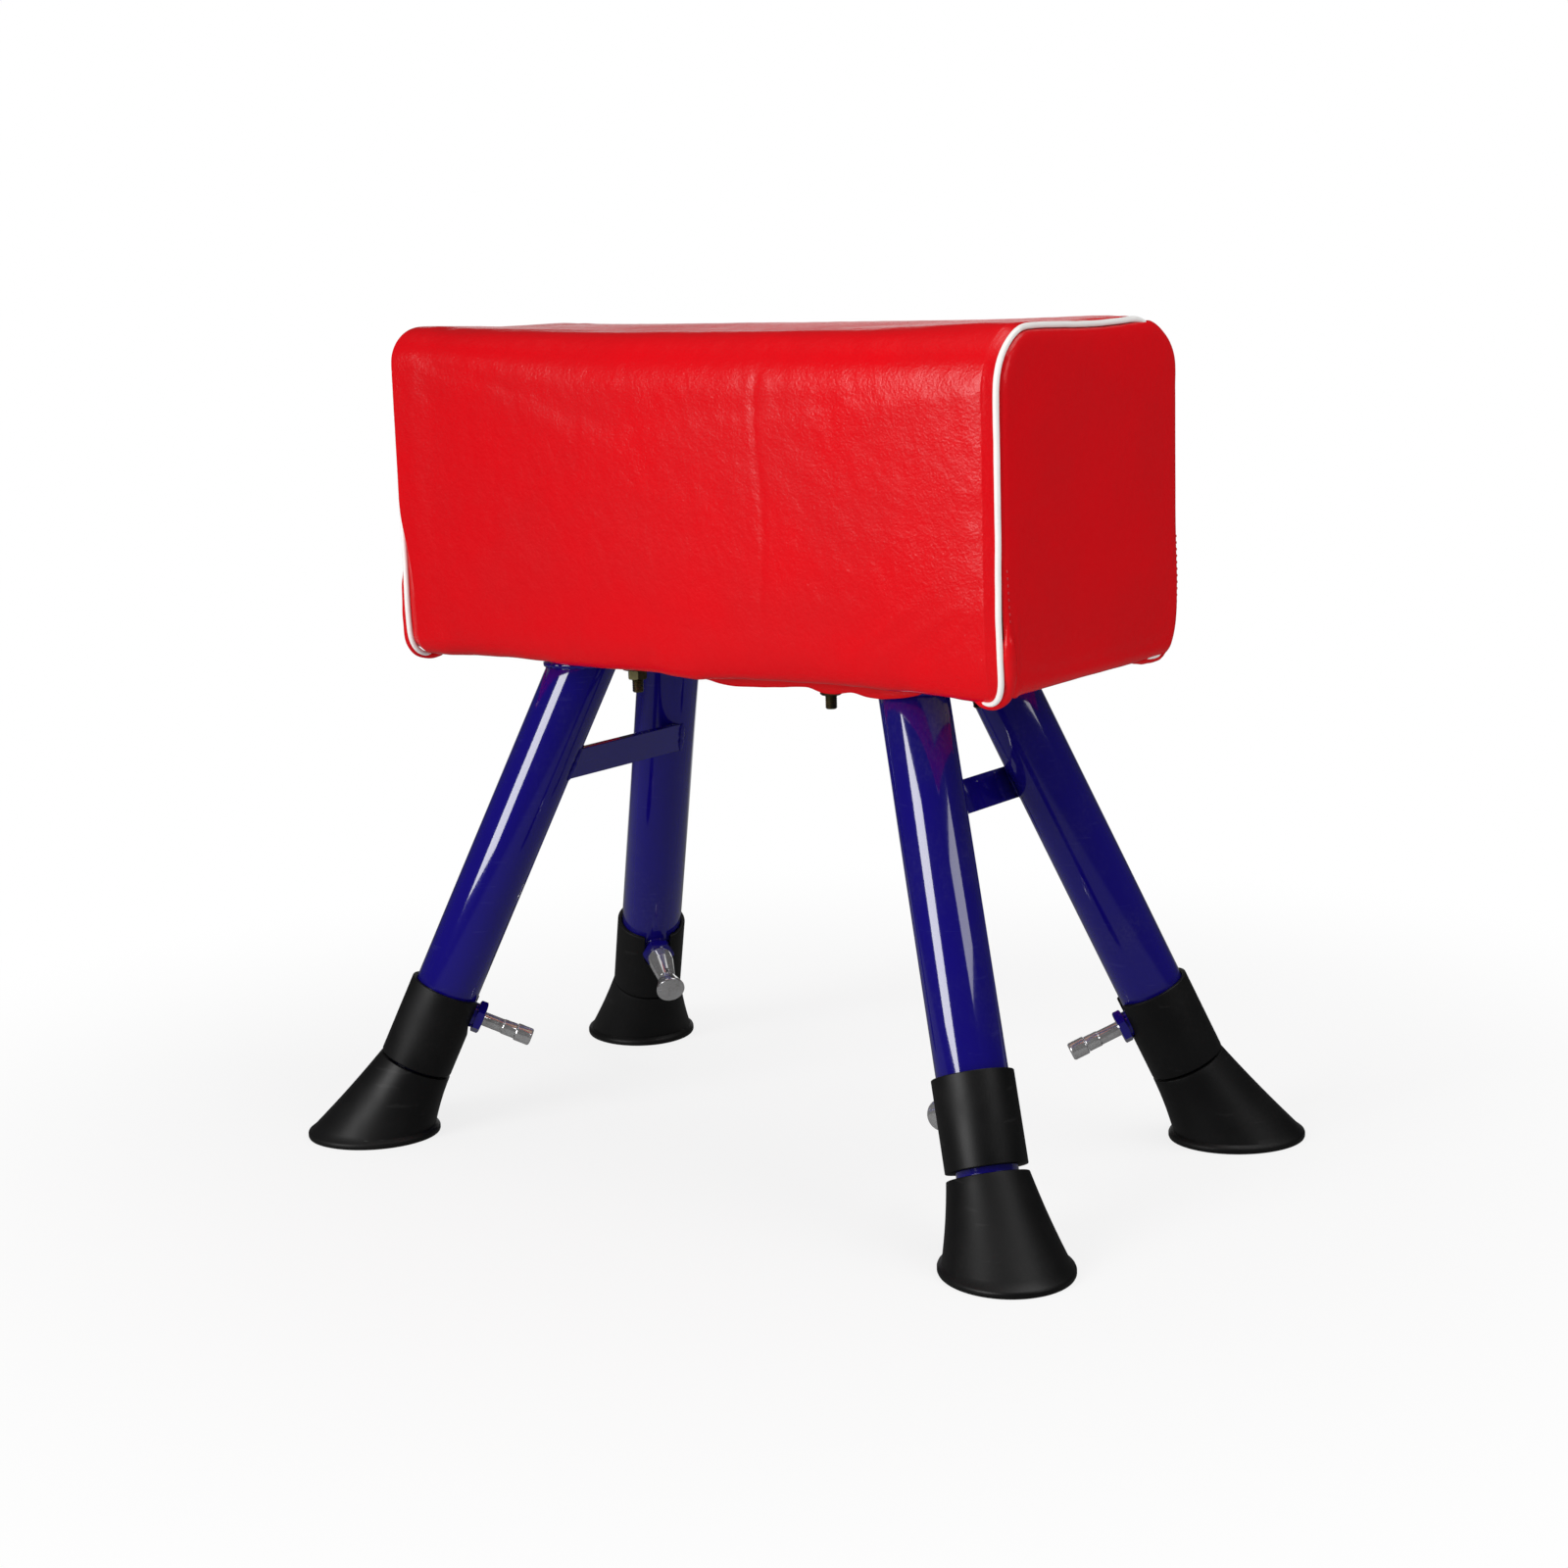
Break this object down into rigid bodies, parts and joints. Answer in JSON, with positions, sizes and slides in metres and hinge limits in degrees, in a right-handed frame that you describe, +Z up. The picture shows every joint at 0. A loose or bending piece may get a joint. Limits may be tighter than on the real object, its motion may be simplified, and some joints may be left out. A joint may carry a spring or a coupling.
{
  "type": "vaulting buck",
  "caption": "Leather-covered vaulting buck with a padded body, white welt piping and splayed telescopic legs with pull-pin locks and oblique rubber feet.",
  "frame": {"origin": "on the floor, under the middle of the body", "axes": "+X along the body towards its right end, +Y towards its back long side, +Z up"},
  "size_m": [0.9524, 0.6024, 0.8655],
  "materials": {
    "red_leather": "soft satin, fine grain",
    "white_piping": "satin",
    "foam": "matt",
    "plywood": "matt",
    "blue_paint": "gloss",
    "black_rubber": "satin",
    "nylon": "matt",
    "chrome": "polished",
    "zinc_steel": "satin",
    "spring_steel": "satin"
  },
  "bodies": {
    "buck": {"base_board": "plywood", "brace_left": "blue_paint", "brace_right": "blue_paint", "core_bottom_board": "plywood", "core_frame": "plywood", "core_top_board": "plywood", "foam_end_left": "foam", "foam_end_right": "foam", "foam_wrap": "foam", "leather_end_left": "red_leather", "leather_end_right": "red_leather", "leather_wrap": "red_leather", "leg_plate_left": "blue_paint", "leg_plate_right": "blue_paint", "lock_boss_back_left": "blue_paint", "lock_boss_back_right": "blue_paint", "lock_boss_front_left": "blue_paint", "lock_boss_front_right": "blue_paint", "outer_tube_back_left": "blue_paint", "outer_tube_back_right": "blue_paint", "outer_tube_front_left": "blue_paint", "outer_tube_front_right": "blue_paint", "piping_left": "white_piping", "piping_right": "white_piping", "plate_bolt_left_back_corner": "zinc_steel", "plate_bolt_left_back_middle": "zinc_steel", "plate_bolt_left_front_corner": "zinc_steel", "plate_bolt_left_front_middle": "zinc_steel", "plate_bolt_right_back_corner": "zinc_steel", "plate_bolt_right_back_middle": "zinc_steel", "plate_bolt_right_front_corner": "zinc_steel", "plate_bolt_right_front_middle": "zinc_steel", "plunger_barrel_back_left": "chrome", "plunger_barrel_back_right": "chrome", "plunger_barrel_front_left": "chrome", "plunger_barrel_front_right": "chrome", "plunger_spring_back_left": "spring_steel", "plunger_spring_back_right": "spring_steel", "plunger_spring_front_left": "spring_steel", "plunger_spring_front_right": "spring_steel", "rubber_collar_back_left": "black_rubber", "rubber_collar_back_right": "black_rubber", "rubber_collar_front_left": "black_rubber", "rubber_collar_front_right": "black_rubber"},
    "leg_front_right": {"inner_tube_front_right": "blue_paint", "rubber_foot_front_right": "black_rubber", "guide_bush_front_right": "nylon"},
    "plunger_front_right": {"plunger_pin_front_right": "chrome"},
    "leg_front_left": {"inner_tube_front_left": "blue_paint", "rubber_foot_front_left": "black_rubber", "guide_bush_front_left": "nylon"},
    "plunger_front_left": {"plunger_pin_front_left": "chrome"},
    "leg_back_left": {"inner_tube_back_left": "blue_paint", "rubber_foot_back_left": "black_rubber", "guide_bush_back_left": "nylon"},
    "plunger_back_left": {"plunger_pin_back_left": "chrome"},
    "leg_back_right": {"inner_tube_back_right": "blue_paint", "rubber_foot_back_right": "black_rubber", "guide_bush_back_right": "nylon"},
    "plunger_back_right": {"plunger_pin_back_right": "chrome"}
  },
  "joints": [
    {"name": "leg_extend_front_right", "type": "slide", "parent": "buck", "child": "leg_front_right", "axis": [0.3276, -0.2653, -0.9068], "range_m": [0, 0.3308]},
    {"name": "leg_extend_front_left", "type": "slide", "parent": "buck", "child": "leg_front_left", "axis": [-0.3276, -0.2653, -0.9068], "range_m": [0, 0.3308]},
    {"name": "leg_extend_back_left", "type": "slide", "parent": "buck", "child": "leg_back_left", "axis": [-0.3276, 0.2653, -0.9068], "range_m": [0, 0.3308]},
    {"name": "leg_extend_back_right", "type": "slide", "parent": "buck", "child": "leg_back_right", "axis": [0.3276, 0.2653, -0.9068], "range_m": [0, 0.3308]},
    {"name": "plunger_pull_front_right", "type": "slide", "parent": "buck", "child": "plunger_front_right", "axis": [-0.7047, 0.5707, -0.4215], "range_m": [0, 0.013], "stiffness_N_per_m": 1500, "springref_m": -0.007, "deforming": ["plunger_spring_front_right"]},
    {"name": "plunger_pull_front_left", "type": "slide", "parent": "buck", "child": "plunger_front_left", "axis": [0.7047, 0.5707, -0.4215], "range_m": [0, 0.013], "stiffness_N_per_m": 1500, "springref_m": -0.007, "deforming": ["plunger_spring_front_left"]},
    {"name": "plunger_pull_back_left", "type": "slide", "parent": "buck", "child": "plunger_back_left", "axis": [0.7047, -0.5707, -0.4215], "range_m": [0, 0.013], "stiffness_N_per_m": 1500, "springref_m": -0.007, "deforming": ["plunger_spring_back_left"]},
    {"name": "plunger_pull_back_right", "type": "slide", "parent": "buck", "child": "plunger_back_right", "axis": [-0.7047, -0.5707, -0.4215], "range_m": [0, 0.013], "stiffness_N_per_m": 1500, "springref_m": -0.007, "deforming": ["plunger_spring_back_right"]}
  ]
}
